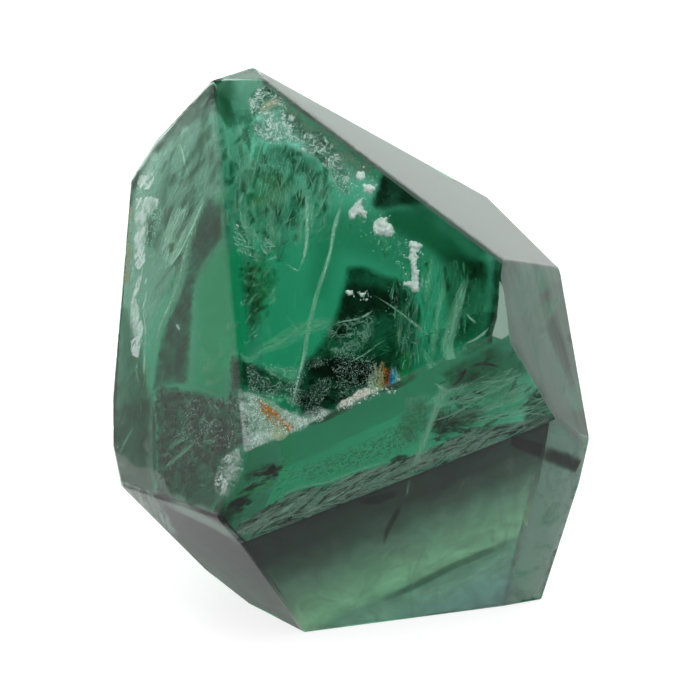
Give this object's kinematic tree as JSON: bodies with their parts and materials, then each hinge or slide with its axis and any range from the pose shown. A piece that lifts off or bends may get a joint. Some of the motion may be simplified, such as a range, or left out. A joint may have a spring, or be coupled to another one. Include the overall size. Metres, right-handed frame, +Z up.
{
  "type": "polished fluorite freeform",
  "caption": "Palm-sized piece of transparent green fluorite, ground to flat polished facets all over, that stands on its widest lower facet.",
  "frame": {"origin": "centre of the stone's outline, on the surface that it stands on", "axes": "+Z up from the base facet, -Y towards the viewer who faces the main window, +X to that viewer's right"},
  "size_m": [0.066, 0.0634, 0.071],
  "materials": {
    "fluorite": "polished"
  },
  "bodies": {
    "root": {"fluorite_freeform": "fluorite"}
  },
  "joints": []
}
